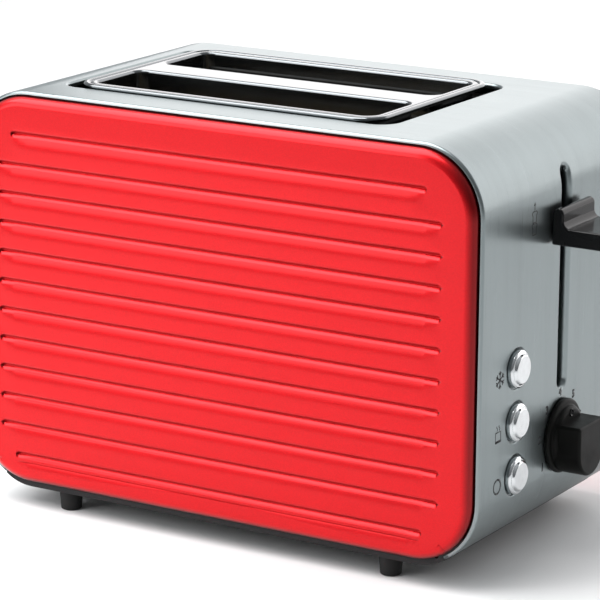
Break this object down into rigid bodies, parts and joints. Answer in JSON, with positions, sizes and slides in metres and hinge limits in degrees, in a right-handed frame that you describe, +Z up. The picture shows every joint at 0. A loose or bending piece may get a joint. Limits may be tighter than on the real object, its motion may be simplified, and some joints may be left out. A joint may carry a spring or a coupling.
{
  "type": "pop up toaster",
  "caption": "Pop up toaster with grooved red side panels, a brushed steel wrap, a raised bread slot plate, a lever, push buttons and a browning knob.",
  "frame": {"origin": "centre of the bounding box on the surface the feet stand on", "axes": "+X along the bread slots towards the lever and knob end, +Y from the front panel to the rear panel, +Z up"},
  "size_m": [0.295, 0.158, 0.1935],
  "materials": {
    "brushed_wrap": "fine brushed stainless steel, the grain running round the wrap",
    "red_panel": "satin metallic red lacquer",
    "black_moulding": "fine satin black moulding",
    "foot_rubber": "matt black",
    "polished_steel": "polished stainless steel",
    "zinc_steel": "zinc plated sheet",
    "mica": "mica sheet",
    "heating_alloy": "dull oxidised strip",
    "gloss_black": "polished black",
    "knob_black": "satin black",
    "spring_steel": "bright drawn steel",
    "button_chrome": "chrome plated cap",
    "board_green": "green circuit laminate",
    "copper_winding": "lacquered copper wire",
    "brass_parts": "plain brass"
  },
  "bodies": {
    "casing": {"wrap_shell": "brushed_wrap", "front_panel": "red_panel", "rear_panel": "red_panel", "front_carrier": "black_moulding", "rear_carrier": "black_moulding", "base": "black_moulding", "slot_insert": "polished_steel", "cord_gland": "black_moulding", "foot_1": "foot_rubber", "foot_2": "foot_rubber", "foot_3": "foot_rubber", "foot_4": "foot_rubber", "base_screw_1": "zinc_steel", "base_screw_2": "zinc_steel", "base_screw_3": "zinc_steel", "base_screw_4": "zinc_steel", "control_end_plate": "zinc_steel", "far_end_plate": "zinc_steel", "reflector_front": "zinc_steel", "reflector_rear": "zinc_steel", "mica_board_front": "mica", "mica_board_centre": "mica", "mica_board_rear": "mica", "element_front": "heating_alloy", "element_centre_front": "heating_alloy", "element_centre_rear": "heating_alloy", "element_rear": "heating_alloy", "guide_rod": "spring_steel", "lift_spring": "spring_steel", "potentiometer": "zinc_steel", "circuit_board": "board_green", "button_carrier": "black_moulding", "defrost_switch": "black_moulding", "reheat_switch": "black_moulding", "cancel_switch": "black_moulding", "magnet_core": "zinc_steel", "magnet_coil": "copper_winding", "power_contact_live": "brass_parts", "power_contact_neutral": "brass_parts", "terminal_block": "black_moulding"},
    "carriage": {"carriage_bracket": "zinc_steel", "bread_lifter_front": "zinc_steel", "bread_lifter_rear": "zinc_steel", "lever_grip": "gloss_black", "armature_plate": "zinc_steel"},
    "knob": {"browning_knob": "knob_black", "knob_shaft": "brass_parts"},
    "crumb_drawer": {"crumb_tray": "zinc_steel"},
    "defrost_button_body": {"defrost_button": "button_chrome"},
    "reheat_button_body": {"reheat_button": "button_chrome"},
    "cancel_button_body": {"cancel_button": "button_chrome"},
    "guard_front_outer_body": {"guard_front_outer": "zinc_steel"},
    "guard_front_inner_body": {"guard_front_inner": "zinc_steel"},
    "guard_rear_inner_body": {"guard_rear_inner": "zinc_steel"},
    "guard_rear_outer_body": {"guard_rear_outer": "zinc_steel"}
  },
  "joints": [
    {"name": "lever_slide", "type": "slide", "parent": "casing", "child": "carriage", "axis": [0, 0, 1], "range_m": [-0.062, 0.012], "stiffness_N_per_m": 120, "springref_m": 0.01046, "deforming": ["lift_spring"]},
    {"name": "browning_turn", "type": "hinge", "parent": "casing", "child": "knob", "pos_m": [0.1173, 0, 0.0518], "axis": [1, 0, 0], "range_deg": [-135, 135]},
    {"name": "tray_slide", "type": "slide", "parent": "casing", "child": "crumb_drawer", "axis": [-1, 0, 0], "range_m": [0, 0.15]},
    {"name": "defrost_press", "type": "slide", "parent": "casing", "child": "defrost_button_body", "axis": [-1, 0, 0], "range_m": [0, 0.002], "stiffness_N_per_m": 300, "springref_m": -0.001},
    {"name": "reheat_press", "type": "slide", "parent": "casing", "child": "reheat_button_body", "axis": [-1, 0, 0], "range_m": [0, 0.002], "stiffness_N_per_m": 300, "springref_m": -0.001},
    {"name": "cancel_press", "type": "slide", "parent": "casing", "child": "cancel_button_body", "axis": [-1, 0, 0], "range_m": [0, 0.002], "stiffness_N_per_m": 300, "springref_m": -0.001},
    {"name": "front_outer_guard_shift", "type": "slide", "parent": "casing", "child": "guard_front_outer_body", "axis": [0, 1, 0], "range_m": [-0.001, 0.005]},
    {"name": "front_inner_guard_shift", "type": "slide", "parent": "casing", "child": "guard_front_inner_body", "axis": [0, 1, 0], "range_m": [-0.005, 0.001]},
    {"name": "rear_inner_guard_shift", "type": "slide", "parent": "casing", "child": "guard_rear_inner_body", "axis": [0, 1, 0], "range_m": [-0.001, 0.005]},
    {"name": "rear_outer_guard_shift", "type": "slide", "parent": "casing", "child": "guard_rear_outer_body", "axis": [0, 1, 0], "range_m": [-0.005, 0.001]}
  ],
  "couplings": [
    {"joint": "front_outer_guard_shift", "follows": "lever_slide", "ratio": -0.08},
    {"joint": "front_inner_guard_shift", "follows": "lever_slide", "ratio": 0.08},
    {"joint": "rear_inner_guard_shift", "follows": "lever_slide", "ratio": -0.08},
    {"joint": "rear_outer_guard_shift", "follows": "lever_slide", "ratio": 0.08}
  ]
}
